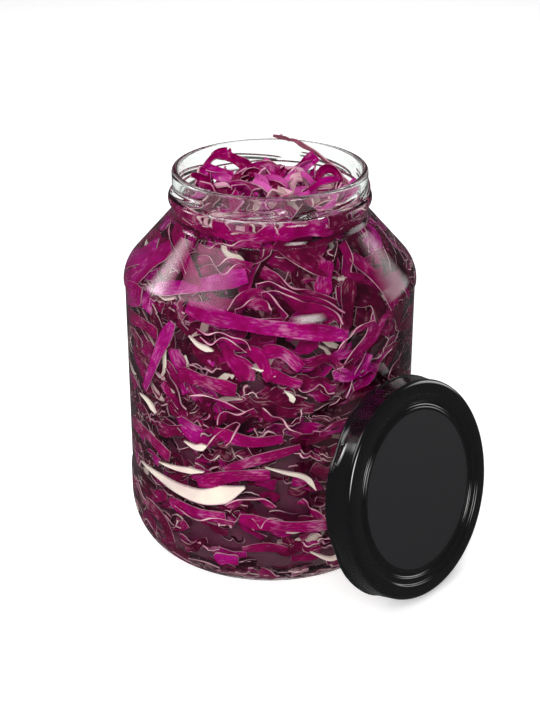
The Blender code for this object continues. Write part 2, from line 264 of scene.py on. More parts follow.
def leaf_material():
    """Purple skin on the faces of a shred, and pale flesh between purple lines on its cut edges."""
    graph = Graph("red_cabbage_leaf")
    leaf = graph.node("ShaderNodeUVMap", {"uv_map": "leaf"})
    along = graph.node("ShaderNodeSeparateXYZ", None, {0: leaf}, output=0)
    around = graph.node("ShaderNodeSeparateXYZ", None, {0: leaf}, output=1)
    tone = graph.attribute("tone")
    pale = graph.attribute("pale")
    # Places round a shred run 0 to 1 on its face, 1 to 2 on an edge, 2 to 3 on its back and 3 to 4 on
    # the other edge, and from 5 up on its ends.
    place = around.math("MODULO", 2.0)
    edge = place.math("GREATER_THAN", 1.0)
    across = (place - 1.5).math("ABSOLUTE")
    flesh = edge * (1.0 - across.between(0.20, 0.42))
    grain = graph.node("ShaderNodeCombineXYZ", None, {0: along * 0.9, 1: around * 7.0, 2: tone * 40.0})
    fibres = graph.noise(1.0, 1.5, 0.5, grain)
    mottle = graph.noise(170.0, 3.0, 0.5)
    broad = graph.noise(75.0, 2.0, 0.5)
    shade = tone + (mottle - 0.5) * 0.30 + (broad - 0.5) * 0.50 + (fibres - 0.5) * 0.24
    skin = graph.ramp(
        shade,
        (
            (0.00, rgb(26, 2, 12)),
            (0.20, rgb(58, 3, 27)),
            (0.42, rgb(100, 3, 50)),
            (0.60, rgb(136, 2, 80)),
            (0.78, rgb(160, 8, 116)),
            (1.00, rgb(196, 84, 160)),
        ),
    )
    blush = graph.ramp(
        broad * 0.6 + mottle * 0.4,
        ((0.30, rgb(140, 78, 110)), (0.50, rgb(196, 146, 162)), (0.68, rgb(230, 204, 202))),
    )
    cream = graph.mix(broad.between(0.3, 0.7), (*rgb(226, 200, 196), 1), (*rgb(242, 226, 212), 1))
    rim = (around.math("MODULO", 1.0) - 0.5).math("ABSOLUTE").between(0.38, 0.5)
    streak = (fibres * 0.5 + broad * 0.5).between(0.52, 0.68) * (1.0 - edge)
    back = around.math("GREATER_THAN", 2.0) * (1.0 - around.math("GREATER_THAN", 3.0))
    faded = back * broad.between(0.35, 0.7) * 0.45
    stained = graph.mix((streak * 0.24).math("MAXIMUM", faded), skin, blush)
    body = graph.mix(pale * (1.0 - rim * 0.5), stained, cream)
    cut = graph.mix(pale, blush, cream)
    height = fibres * 0.5 + broad
    shader = graph.node(
        "ShaderNodeBsdfPrincipled",
        None,
        {
            "Base Color": graph.mix(flesh, body, cut),
            "Roughness": mottle * 0.20 + 0.34,
            "IOR": 1.4,
            "Specular IOR Level": 0.0,
            "Normal": graph.bump(height, 0.3, 0.0008),
        },
    )
    return graph.finish(shader)


def core_material():
    """The leaf deep in the heap, its own purple coloured dark as painted shade for the gaps between the
    shreds.
    """
    graph = Graph("cabbage_shade")
    # Painted shade: these dark purples stand for the shade in the gaps between the shreds.
    colour = graph.mix(graph.noise(180.0), (*rgb(54, 3, 29), 1), (*rgb(96, 8, 56), 1))
    return graph.finish(
        graph.node("ShaderNodeBsdfPrincipled", None, {"Base Color": colour, "Roughness": 0.6})
    )


def lid_material():
    """Gloss black enamel outside, with a satin flat panel, and pale lacquer inside with a seal ring."""
    graph = Graph("black_enamel")
    radius = graph.attribute("reach")
    inside = graph.attribute("inside")
    speck = graph.noise(900.0, 2.0)
    satin = (1.0 - radius.between(LID_PANEL_RADIUS - 0.0016, LID_PANEL_RADIUS - 0.0008)) * (1.0 - inside)
    seal = radius.between(0.0440, 0.0446) * (1.0 - radius.between(0.0505, 0.0512)) * inside
    outer = graph.mix(satin, (*rgb(9, 9, 11), 1), (*rgb(31, 30, 34), 1))
    lacquer = graph.mix(seal, (*rgb(214, 208, 192), 1), (*rgb(232, 228, 214), 1))
    shader = graph.node(
        "ShaderNodeBsdfPrincipled",
        None,
        {
            "Base Color": graph.mix(inside, outer, lacquer),
            "Roughness": satin * 0.36 + 0.09 + inside * 0.22 + speck * 0.03,
            "IOR": 1.5,
            "Coat Weight": 1.0,
            "Coat Roughness": 0.04,
        },
    )
    return graph.finish(shader)


def arc(centre, radii, start_deg, end_deg, steps):
    """Points of an elliptical arc in the (r, z) plane, both ends included."""
    points = []
    for k in range(steps + 1):
        angle = math.radians(start_deg + (end_deg - start_deg) * k / steps)
        points.append((centre[0] + radii[0] * math.cos(angle), centre[1] + radii[1] * math.sin(angle)))
    return points


def fillet(before, corner, after, radius, steps):
    """Points of the arc that rounds a corner between two straight runs, in the (r, z) plane."""
    before, corner, after = Vector(before), Vector(corner), Vector(after)
    back, on = (before - corner).normalized(), (after - corner).normalized()
    half = back.angle(on) / 2
    centre = corner + (back + on).normalized() * (radius / math.sin(half))
    first = corner + back * (radius / math.tan(half)) - centre
    last = corner + on * (radius / math.tan(half)) - centre
    turn = math.atan2(first.x * last.y - first.y * last.x, first.dot(last))
    points = []
    for k in range(steps + 1):
        c, s = math.cos(turn * k / steps), math.sin(turn * k / steps)
        points.append((centre.x + first.x * c - first.y * s, centre.y + first.x * s + first.y * c))
    return points


def run(start, end, steps):
    """Evenly spaced points after start and up to end."""
    return [
        (start[0] + (end[0] - start[0]) * k / steps, start[1] + (end[1] - start[1]) * k / steps)
        for k in range(1, steps + 1)
    ]


def jar_outside():
    """The outside of the jar, from the middle of its base up to the top of its lip."""
    bearing = BODY_RADIUS - HEEL_WIDTH
    corner = (BODY_RADIUS, SHOULDER_HEIGHT)
    neck = (NECK_RADIUS, NECK_HEIGHT)
    panel = BODY_RADIUS - PANEL_DEPTH
    points = [(0, PUSH_UP), (PUSH_UP_RADIUS, PUSH_UP)]
    points += run(points[-1], (PUSH_UP_RADIUS + 2 * PUSH_UP, 0.0002), 3)
    points += [(PUSH_UP_RADIUS + 2.6 * PUSH_UP, 0)]
    points += arc((bearing, HEEL_HEIGHT), (HEEL_WIDTH, HEEL_HEIGHT), -90, 0, 22)
    points += [(BODY_RADIUS, PANEL_LOW - PANEL_EDGE / 2), (panel, PANEL_LOW + PANEL_EDGE / 2)]
    points += run(points[-1], (panel, PANEL_HIGH - PANEL_EDGE / 2), 12)
    points += fillet((BODY_RADIUS, HEEL_HEIGHT), corner, neck, SHOULDER_ROUNDING, 26)
    turn = fillet(corner, neck, (NECK_RADIUS, JAR_HEIGHT), NECK_ROUNDING, 10)
    points += run(points[-1], turn[0], 14) + turn
    points += arc((NECK_RADIUS, BEAD_HEIGHT), (BEAD_RADIUS - NECK_RADIUS, BEAD_HALF_WIDTH), -80, 80, 10)
    lip_foot = JAR_HEIGHT - LIP_ROUNDING
    points += run((FINISH_RADIUS, BEAD_HEIGHT + BEAD_HALF_WIDTH), (FINISH_RADIUS, lip_foot), 34)
    lip_centre = (FINISH_RADIUS - LIP_ROUNDING, lip_foot)
    return points[:-1] + arc(lip_centre, (LIP_ROUNDING, LIP_ROUNDING), 0, 90, 7)


def jar_inside():
    """The inside of the jar, from the top of its lip down to the middle of its floor."""
    radius = BODY_RADIUS - BODY_WALL
    heel = HEEL_WIDTH - HEEL_THINNING
    lip = arc(
        (MOUTH_RADIUS + LIP_ROUNDING, JAR_HEIGHT - LIP_ROUNDING), (LIP_ROUNDING, LIP_ROUNDING), 90, 180, 7
    )
    lean = math.atan2(BODY_RADIUS - NECK_RADIUS, NECK_HEIGHT - SHOULDER_HEIGHT)
    drop = BODY_WALL * math.tan(math.pi / 4 - lean / 2)
    corner = (radius, SHOULDER_HEIGHT - drop)
    neck = (MOUTH_RADIUS, corner[1] + (radius - MOUTH_RADIUS) / math.tan(lean))
    points = lip + run(lip[-1], (MOUTH_RADIUS, 0.190), 6)
    points += fillet(lip[-1], neck, corner, NECK_ROUNDING, 8)
    points += fillet(neck, corner, (radius, HEEL_HEIGHT), SHOULDER_ROUNDING - BODY_WALL, 12)
    points += run(points[-1], (radius, HEEL_HEIGHT + 0.004), 14)
    points += arc((radius - heel, HEEL_HEIGHT), (heel, HEEL_HEIGHT - FLOOR), 0, -90, 20)
    return points + [(0, FLOOR)]


# The inside of the glass from near the middle of its floor up, as rows of radius and height, with the
# distance along it and the outward direction at each row.
INSIDE = np.array([(0.030, FLOOR), *jar_inside()[-2::-1]])
ALONG = np.concatenate(([0], np.cumsum(np.hypot(*np.diff(INSIDE, axis=0).T))))
OUTWARDS = np.gradient(INSIDE, ALONG, axis=0)[:, ::-1] * (1, -1)
HEAP_EDGE = np.interp(HEAP_EDGE_HEIGHT, INSIDE[:, 1], ALONG)


def inner_radius(height):
    """The radius inside the glass at a height."""
    return np.interp(height, INSIDE[1:, 1], INSIDE[1:, 0])


def lug_swell(angle, height):
    """How far the thread lugs stand out from the finish at a place."""
    swell = 0.0
    for lug in range(LUG_COUNT):
        upper = LUG_UPPER_END + lug * math.tau / LUG_COUNT
        behind = (upper - angle) % math.tau
        if behind > LUG_SPAN:
            continue
        share = 1 - behind / LUG_SPAN
        fade = min(1.0, 7 * share, 7 * (1 - share))
        off = (height - (LUG_TOP_HEIGHT - LUG_RISE * (1 - share))) / LUG_HALF_WIDTH
        swell = max(swell, LUG_STAND_OUT * fade**0.5 * math.exp(-(off**2) * 1.4))
    return swell


def lathe(outline, sides=SIDES, shift=None):
    """Vertices and faces of an outline of (r, z) points turned about Z, which faces outwards."""
    verts, faces, rows = [], [], []
    for r, z in outline:
        if r == 0:
            rows.append([len(verts)] * sides)
            verts.append((0, 0, z))
            continue
        rows.append(list(range(len(verts), len(verts) + sides)))
        for k in range(sides):
            angle = math.tau * k / sides
            reach = r + (shift(angle, r, z) if shift else 0)
            verts.append((reach * math.cos(angle), reach * math.sin(angle), z))
    for below, above in zip(rows, rows[1:]):
        for k in range(sides):
            corners = (below[k], below[(k + 1) % sides], above[(k + 1) % sides], above[k])
            faces.append(tuple(dict.fromkeys(corners)))
    return verts, faces


def add_piece(name, mesh, material, stands_for):
    """Puts a finished mesh in the scene as a piece of the object."""
    mesh.materials.append(material)
    piece = bpy.data.objects.new(name, mesh)
    bpy.context.scene.collection.objects.link(piece)
    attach(piece, "root")
    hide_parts(stands_for)
    return piece


def smooth(mesh, degrees):
    """Shades a mesh smooth, but for edges that turn by more than that."""
    mesh.shade_smooth()
    mesh.set_sharp_from_angle(angle=math.radians(degrees))


def build_jar():
    """The glass, with its lugs outside and a little unevenness inside such as blown jars have."""
    outside, inside = jar_outside(), jar_inside()
    outer_points = set(outside)

    def shift(angle, r, z):
        if (r, z) in outer_points:
            on_finish = BEAD_HEIGHT + BEAD_HALF_WIDTH < z < JAR_HEIGHT - LIP_ROUNDING
            return lug_swell(angle, z) if on_finish else 0.0
        if z > 0.18 or z < 0.012:
            return 0.0
        return 0.00010 * (math.sin(3 * angle + 40 * z) + 0.6 * math.sin(5 * angle - 90 * z + 1))

    outline = outside + inside[1:]
    verts, faces = lathe(outline, shift=shift)
    mesh = bpy.data.meshes.new("jar_glass")
    mesh.from_pydata([(x + JAR_X, y, z) for x, y, z in verts], [], faces)
    smooth(mesh, 60)
    piece = add_piece("jar_glass", mesh, glass_material("clear_glass", 1.5, 1.0), stands_for="jar")
    mesh.materials.append(glass_material("moist_glass", 1.128, 0.0))
    moist = [k >= len(outside) and z < MOIST_TOP for k, (_, z) in enumerate(outline[1:])]
    mesh.polygons.foreach_set("material_index", np.repeat(moist, SIDES).astype(np.int32))
    return piece


def lid_outline():
    """The lid's section, from the middle of its inside, round the rolled edge and over its top."""
    inner_top = LID_HEIGHT - LID_SHEET
    skirt_in = LID_RADIUS - 2 * CURL_RADIUS
    crown = 0.0022
    inside = [
        (0, inner_top - STEP_DEPTH),
        (LID_PANEL_RADIUS, inner_top - STEP_DEPTH),
        (GROOVE_RADIUS - 0.0010, inner_top - STEP_DEPTH - GROOVE_DEPTH),
        (GROOVE_RADIUS, inner_top - STEP_DEPTH - GROOVE_DEPTH),
        (GROOVE_RADIUS + 2 * GROOVE_DEPTH, inner_top - STEP_DEPTH),
        (LAND_RADIUS - STEP_DEPTH, inner_top - STEP_DEPTH),
        (LAND_RADIUS, inner_top),
        (LID_TOP_RADIUS - LID_SHEET - crown / 2, inner_top),
        (LID_TOP_RADIUS - LID_SHEET, inner_top - crown),
        (skirt_in + CURL_RADIUS / 2, 3 * CURL_RADIUS),
    ]
    top = STEP_DEPTH * 0.5
    outside = arc((LID_RADIUS - CURL_RADIUS, CURL_RADIUS), (CURL_RADIUS, CURL_RADIUS), 170, 400, 14)
    outside += [(LID_TOP_RADIUS + CURL_RADIUS * 0.15, 2.9 * CURL_RADIUS)]
    outside += run(outside[-1], (LID_TOP_RADIUS, LID_HEIGHT - crown - 0.0006), 3)
    outside += arc((LID_TOP_RADIUS - crown, LID_HEIGHT - crown), (crown, crown), 0, 90, 9)
    outside += arc((LAND_RADIUS, LID_HEIGHT - top), (top, top), 90, 150, 3)
    outside += arc((LAND_RADIUS - 2.2 * top, LID_HEIGHT - STEP_DEPTH + top), (top, top), -30, -90, 3)
    level = LID_HEIGHT - STEP_DEPTH
    outside += arc((GROOVE_RADIUS + 0.0016, level - 0.0005), (0.0005, 0.0005), 90, 180, 3)
    outside += arc((GROOVE_RADIUS, level), (0.0009, GROOVE_DEPTH), -20, -160, 6)
    outside += arc((LID_PANEL_RADIUS, level - 0.0004), (0.0005, 0.0004), 0, 90, 3)
    return inside, outside + [(LID_PANEL_RADIUS - 0.0014, level), (0, level)]


def build_lid():
    """The lid, leaning on the jar as in the CAD, with its rolled edge pressed in at each lug."""
    inside, outside = lid_outline()

    def shift(angle, r, z):
        if z > 2.6 * CURL_RADIUS or r < LAND_RADIUS:
            return 0.0
        pitch = math.tau / LUG_COUNT
        off_lug = (angle - math.pi / LUG_COUNT + pitch / 2) % pitch - pitch / 2
        share = (LID_RADIUS - r) / (2 * CURL_RADIUS)
        depth = LID_LUG_DENT + LID_LUG_REACH * share
        return -depth * math.exp(-((off_lug / (LID_LUG_SPAN / 2)) ** 2))

    verts, faces = lathe(inside + outside, shift=shift)
    inner_count = 1 + SIDES * (len(inside) - 1)
    ring = LID_RADIUS - CURL_RADIUS
    lean, rise = math.sin(LID_TILT), math.cos(LID_TILT)
    foot = Vector(
        (
            JAR_X + BODY_RADIUS + TOUCH_GAP + CURL_RADIUS * (1 - rise) + ring * lean,
            0,
            ring * rise + CURL_RADIUS * (1 - lean),
        )
    )
    place = Matrix.Translation(foot) @ Matrix.Rotation(math.pi / 2 - LID_TILT, 4, "Y")
    mesh = bpy.data.meshes.new("lid_metal")
    mesh.from_pydata([place @ Vector(vert) for vert in verts], [], faces)
    smooth(mesh, 50)
    reach = mesh.attributes.new("reach", "FLOAT", "POINT")
    within = mesh.attributes.new("inside", "FLOAT", "POINT")
    reach.data.foreach_set("value", [math.hypot(x, y) for x, y, _ in verts])
    within.data.foreach_set("value", [1.0 if k < inner_count else 0.0 for k in range(len(verts))])
    return add_piece("lid_metal", mesh, lid_material(), stands_for="lid")


class Shreds:
    """Gathers strips of leaf into one mesh, each with its own tone."""

    AROUND = (0.0, 0.5, 1.0, 2.0, 2.5, 3.0, 4.0)

    def __init__(self):
        self.verts, self.faces, self.maps = [], [], []
        self.tones, self.pales = [], []

    def add(self, centres, normals, widths, thickness, tone, pale=0.0, cup=0.0):
        """One strip along centres. It's thin along normals, and cup bows it across its width."""
        centres, normals = np.asarray(centres), np.asarray(normals)
        count = len(centres)
        ways = np.gradient(centres, axis=0)
        ways /= np.linalg.norm(ways, axis=1, keepdims=True) + 1e-12
        sides = np.cross(ways, normals)
        sides /= np.linalg.norm(sides, axis=1, keepdims=True) + 1e-12
        outs = np.cross(sides, ways)
        halves = np.broadcast_to(np.asarray(widths, float) * 0.5, (count,))[:, None] * sides
        thick = np.broadcast_to(np.asarray(thickness, float) * 0.5, (count,))[:, None] * outs
        bow = cup * outs
        ring = np.stack(
            (
                centres - halves + thick,
                centres + thick + bow,
                centres + halves + thick,
                centres + halves - thick,
                centres - thick + bow,
                centres - halves - thick,
            ),
            axis=1,
        )
        first = len(self.verts)
        self.verts.extend(map(tuple, ring.reshape(-1, 3)))
        self.tones.extend([tone] * (6 * count))
        self.pales.extend([pale] * (6 * count))
        lengths = np.concatenate(([0], np.cumsum(np.linalg.norm(np.diff(centres, axis=0), axis=1)))) * 300
        for s in range(count - 1):
            near, far = first + 6 * s, first + 6 * (s + 1)
            for k in range(6):
                after = (k + 1) % 6
                self.faces.append((near + k, near + after, far + after, far + k))
                around, beyond = self.AROUND[k], self.AROUND[k + 1]
                self.maps.extend(
                    (
                        (lengths[s], around),
                        (lengths[s], beyond),
                        (lengths[s + 1], beyond),
                        (lengths[s + 1], around),
                    )
                )
        last = first + 6 * (count - 1)
        for start, order in ((first, (5, 4, 3, 2, 1, 0)), (last, (0, 1, 2, 3, 4, 5))):
            # An end is mapped like an edge: flesh in its middle and skin along both faces.
            self.faces.append(tuple(start + k for k in order))
            self.maps.extend((lengths[-1] + k, 5.15 if k < 3 else 5.85) for k in order)

    def mesh(self, name):
        """The mesh of the strips, which reach just into the glass and no further."""
        verts = np.array(self.verts)
        radius = np.hypot(verts[:, 0], verts[:, 1])
        verts[:, 2] = np.maximum(verts[:, 2], FLOOR - GLASS_REACH)
        limit = inner_radius(verts[:, 2]) + GLASS_REACH
        over = (radius > limit) & (verts[:, 2] < JAR_HEIGHT - 0.004)
        squeeze = np.where(over, limit / np.maximum(radius, 1e-6), 1.0)
        verts[:, 0] = verts[:, 0] * squeeze + JAR_X
        verts[:, 1] *= squeeze
        mesh = bpy.data.meshes.new(name)
        mesh.from_pydata(verts.tolist(), [], self.faces)
        layer = mesh.uv_layers.new(name="leaf")
        layer.data.foreach_set("uv", np.array(self.maps, dtype=np.float32).ravel())
        for key, values in (("tone", self.tones), ("pale", self.pales)):
            mesh.attributes.new(key, "FLOAT", "POINT").data.foreach_set("value", values)
        smooth(mesh, 50)
        return mesh


def on_wall(angle, along, depth):
    """Points at a depth inside the glass, and the outward directions there, about the jar's axis.

    Along is the distance up the inside of the glass, from near the middle of its floor.
    """
    along = np.clip(along, 0, ALONG[-1])
    radius, height = (np.interp(along, ALONG, INSIDE[:, k]) for k in (0, 1))
    out_r, out_z = (np.interp(along, ALONG, OUTWARDS[:, k]) for k in (0, 1))
    out = np.stack((out_r * np.cos(angle), out_r * np.sin(angle), out_z), axis=-1)
    out /= np.linalg.norm(out, axis=-1, keepdims=True)
    surface = np.stack((radius * np.cos(angle), radius * np.sin(angle), height), axis=-1)
    return surface - out * np.broadcast_to(depth, np.shape(height))[..., None], out


def smooth_path(points, count):
    """Places on the smooth curve through rows of points, by Catmull-Rom."""
    points = np.asarray(points, float)
    padded = np.vstack((2 * points[0] - points[1], points, 2 * points[-1] - points[-2]))
    spans = len(points) - 1
    result = []
    for share in np.linspace(0, spans, count):
        k = min(int(share), spans - 1)
        t = share - k
        a, b, c, d = padded[k : k + 4]
        square, cube = 2 * a - 5 * b + 4 * c - d, 3 * b - a - 3 * c + d
        result.append(0.5 * (2 * b + (c - a) * t + square * t**2 + cube * t**3))
    return np.array(result)


def turned_normals(centres, outs, rolls):
    """The outward directions, turned about the strip by each roll in radians."""
    ways = np.gradient(centres, axis=0)
    ways /= np.linalg.norm(ways, axis=1, keepdims=True) + 1e-12
    outs = outs - ways * np.sum(outs * ways, axis=1, keepdims=True)
    outs /= np.linalg.norm(outs, axis=1, keepdims=True) + 1e-12
    sides = np.cross(ways, outs)
    rolls = np.broadcast_to(rolls, (len(centres),))[:, None]
    return outs * np.cos(rolls) + sides * np.sin(rolls)


# Shreds that show plainly against the glass. Each has its kind, its width in millimetres, its tone
# and its route: angle in degrees round to the right of the side the camera faces, and height in
# millimetres.
SEEN_SHREDS = (
    ("flat", 8.0, 0.50, ((-84, 184), (-58, 187), (-32, 184.5))),
    ("flat", 8.5, 0.60, ((-36, 187.5), (-16, 184.5), (4, 187.5))),
    ("flat", 8.5, 0.64, ((2, 185), (20, 188), (40, 185.5))),
    ("flat", 8.0, 0.40, ((36, 188), (58, 185), (84, 187))),
    ("flat", 8.7, 0.58, ((-71, 181), (-58, 175.5), (-44, 169), (-32, 160))),
    ("flat", 15.0, 0.66, ((-84, 141), (-72, 153), (-67, 164), (-61, 172))),
    ("flat", 16.0, 0.74, ((-98, 150), (-84, 158), (-72, 168))),
    ("flat", 12.0, 0.70, ((-88, 138), (-74, 145), (-60, 150))),
    ("flat", 9.5, 0.8, ((-54, 156), (-39, 160.5), (-25, 165), (-11, 169))),
    ("flat", 15.0, 0.20, ((-20, 178), (-8, 173), (2, 166))),
    ("flat", 13.0, 0.16, ((-16, 165), (-6, 160), (-2, 154))),
    ("flat", 14.0, 0.24, ((14, 172), (20, 165), (18, 156))),
    ("flat", 9.0, 0.66, ((-34, 154), (-19, 152), (-4.5, 150), (11.5, 147), (31, 141.5))),
    ("flat", 7.0, 0.76, ((-40, 145), (-46, 132), (-52, 118), (-60, 100))),
    ("flat", 12.0, 0.42, ((4, 183), (16.5, 177), (30, 168))),
    ("flat", 9.5, 0.6, ((30, 173), (26, 167), (22.5, 161))),
    ("flat", 8.0, 0.34, ((38, 164), (32, 155), (29.5, 145))),
    ("flat", 9.5, 0.56, ((46, 172), (53, 160), (56.5, 147))),
    ("flat", 8.5, 0.54, ((-77, 133), (-60, 136), (-49, 135))),
    ("flat", 9.0, 0.56, ((-38, 119), (-26, 118), (-13, 115.5))),
    ("flat", 7.0, 0.58, ((-2, 127), (4.5, 122.5), (12, 119))),
    ("flat", 8.5, 0.56, ((-78, 71), (-60, 74), (-44, 69))),
    ("flat", 5.5, 0.56, ((-18, 71.5), (-3, 79), (12, 85))),
    ("flat", 8.0, 0.58, ((-12, 44), (4, 40), (24, 37.5))),
    ("flat", 5.0, 0.5, ((-11, 26), (-2, 28), (7, 26.5))),
    ("flat", 8.0, 0.72, ((-23, 17), (-18, 18.5), (-13, 18.5))),
    ("flat", 7.0, 0.6, ((-45, 43), (-31.5, 42), (-18, 44))),
    ("flat", 8.0, 0.4, ((-62, 33), (-49, 29), (-45, 18))),
    ("flat", 7.0, 0.62, ((-8, 139), (-3, 132), (0, 121.5))),
    ("flat", 8.0, 0.62, ((-3, 137.5), (5, 136), (12, 127.5))),
    ("flat", 8.0, 0.58, ((-30, 60), (-14, 68), (0, 70))),
    ("flat", 7.0, 0.62, ((-22, 92), (-8, 88), (5, 90))),
    ("rib", 10.5, 0.92, ((-66, 54), (-52, 54), (-40, 52.5), (-28, 52.5), (-18, 57), (-10, 62))),
    ("rib", 3.4, 0.9, ((-51, 62.5), (-41, 64), (-27, 67))),
    ("rib", 3.0, 0.9, ((-2, 74), (5.5, 71), (14, 67), (18.5, 59))),
    ("rib", 3.6, 0.9, ((16.5, 23), (27, 15.5), (34.5, 21.5))),
    ("rib", 4.0, 0.7, ((-36, 81.5), (-30.5, 80), (-25.5, 82))),
    ("rib", 4.0, 0.85, ((-65, 94.5), (-58, 94), (-52, 90))),
    ("rib", 3.4, 0.85, ((-32.5, 140.5), (-28, 136.5), (-22, 135))),
    ("rib", 3.2, 0.85, ((5.5, 116), (8, 113), (9, 109.5))),
    ("rib", 3.0, 0.85, ((-7, 128.5), (-1, 126), (2, 124))),
    ("wave", 4.0, 0.5, ((-39, 171.5), (-33.5, 172.5), (-27, 170.5), (-22, 174), (-15, 173), (-9, 172.5))),
    (
        "wave",
        4.0,
        0.5,
        ((-43, 176), (-34.5, 175.5), (-29, 179.5), (-21.5, 179), (-15, 181.5), (-5.5, 180.5)),
    ),
    ("wave", 4.0, 0.5, ((-34.5, 167.5), (-29, 170), (-22, 168), (-16, 171.5), (-10.5, 169.5))),
    (
        "wave",
        5.0,
        0.5,
        ((-6, 164.5), (0, 166.5), (6, 163.5), (11.5, 160), (17.5, 158.5), (23.5, 156.5), (29.5, 152)),
    ),
    (
        "wave",
        5.0,
        0.5,
        ((-3.5, 161.5), (2.5, 163), (8, 160.5), (13, 157), (19, 155.5), (25.5, 152), (28, 147.5)),
    ),
    ("wave", 5.0, 0.45, ((-4, 171), (3.5, 168), (9.5, 164), (15.5, 162), (20, 159.5), (27.5, 156.5))),
    ("wave", 6.0, 0.5, ((-16.5, 155), (-12.5, 159.5), (-6.5, 162), (0, 160.5), (4, 156.5), (5.5, 152.5))),
    ("wave", 5.0, 0.5, ((-13.5, 154.5), (-9, 158), (-3.5, 158.5), (0.5, 156))),
    ("wave", 4.0, 0.55, ((-29, 144), (-24.5, 143), (-19.5, 145), (-14.5, 142), (-10, 141), (-7.5, 137.5))),
    ("wave", 4.0, 0.55, ((-28, 140), (-23, 138), (-18, 141.5), (-13, 138), (-9, 136))),
    ("wave", 4.0, 0.55, ((-78, 176), (-71, 175), (-58, 171), (-49, 168), (-41.5, 165))),
    ("wave", 4.0, 0.55, ((-32, 106.5), (-26, 110), (-20, 108), (-15, 105.5), (-9.5, 104))),
    ("wave", 4.0, 0.45, ((-20, 95.5), (-17.5, 101.5), (-12, 102.5), (-5.5, 105))),
    ("wave", 4.0, 0.45, ((-24.5, 82.5), (-19, 90), (-12.5, 97.5), (-15, 90), (-18.5, 86))),
    ("wave", 4.0, 0.45, ((-3, 106.5), (0, 101), (4.5, 100), (7.5, 94.5), (11.5, 90.5))),
    ("wave", 4.0, 0.5, ((-42, 39.5), (-37, 38.5), (-29.5, 38), (-22.5, 40), (-14.5, 40))),
    ("wave", 4.0, 0.5, ((-17, 49), (-10.5, 54.5), (-3.5, 55), (1.5, 50.5))),
    ("wave", 4.0, 0.5, ((12, 54), (16, 49), (21.5, 40.5))),
    ("wave", 4.0, 0.5, ((-8, 43), (-3.5, 39), (0.5, 43.5))),
    ("wave", 4.0, 0.5, ((28, 134), (31.5, 139), (35, 142.5), (43.5, 143.5))),
    ("wave", 4.0, 0.5, ((44.5, 177.5), (44, 170.5), (39, 165.5), (46, 162.5))),
)


def seen_shred(shreds, kind, width, tone, route):
    """One of the shreds that show plainly, laid against the glass along its route."""
    count = 8 * len(route)
    places = smooth_path(route, count)
    angle = CAMERA_SIDE + np.radians(places[:, 0])
    along = np.interp(places[:, 1] / 1000, INSIDE[:, 1], ALONG)
    share = np.linspace(0, 1, count)
    width = width / 1000
    if kind == "flat":
        depth = 0.0050 if tone < 0.3 else 0.0005
        centres, outs = on_wall(angle, along, depth + 0.0003 * np.sin(share * 5 + tone * 9) ** 2)
        normals = turned_normals(centres, outs, 0.10 * np.sin(share * 4 + tone * 20))
        widths = width * (0.86 + 0.14 * np.sin(share * 6 + width * 900))
        widths *= np.interp(share, (0, 0.15, 0.85, 1), (0.60, 1, 1, 0.72))
        shreds.add(centres, normals, widths, 0.0011, tone)
    elif kind == "rib":
        centres, outs = on_wall(angle, along, 0.0009)
        widths = width * np.interp(share, (0, 0.3, 0.78, 1), (0.06, 0.5, 1, 0.12))
        shreds.add(centres, outs, widths, 0.0018, tone, pale=1.0)
    else:
        rolls = 1.05 + 0.4 * np.sin(share * 8 + tone * 30 + width * 2000)
        centres, outs = on_wall(angle, along, 0.62 * width * np.sin(rolls) - 0.0003)
        normals = turned_normals(centres, outs, rolls)
        thickness = 0.0010 + 0.0005 * np.sin(share * 13 + width * 3000)
        shreds.add(centres, normals, width * 1.25, thickness, tone + 0.06)


def seen_places():
    """Where the plainly seen shreds lie, as (angle, distance up the wall, half width)."""
    places = []
    for _, width, _, route in SEEN_SHREDS:
        for angle, height in smooth_path(route, 4 * len(route)):
            along = np.interp(height / 1000, INSIDE[:, 1], ALONG)
            places.append((CAMERA_SIDE + math.radians(angle), along, width / 2000 + 0.002))
    return np.array(places)


def wander(length, count, slope, swings):
    """Offsets (around, up) along a winding line. Each swing is an angle, a wavelength and a phase."""
    run_along = math.tau * length * np.linspace(-0.5, 0.5, count)
    heading = slope + sum(turn * np.sin(run_along / wave + phase) for turn, wave, phase in swings)
    steps = length / count * np.stack((np.cos(heading), np.sin(heading)), axis=1)
    places = np.cumsum(steps, axis=0)
    return places - places.mean(axis=0)


def shred_line(kind, size, phases, draw):
    """The length of a random shred and the swings of its line."""
    if kind == "wave":
        length = draw.uniform(0.013, 0.038) * size
        wide = (draw.uniform(0.3, 1.15), draw.uniform(0.009, 0.019), phases[0])
        return length, (wide, (draw.uniform(0.1, 0.6), draw.uniform(0.004, 0.007), phases[1]))
    if kind == "flat":
        length = draw.uniform(0.013, 0.036) * size
        return length, ((draw.uniform(0.05, 0.75), draw.uniform(0.014, 0.04), phases[0]),)
    length = draw.uniform(0.008, 0.024) * size
    return length, ((draw.uniform(0.1, 0.4), draw.uniform(0.012, 0.03), phases[0]),)


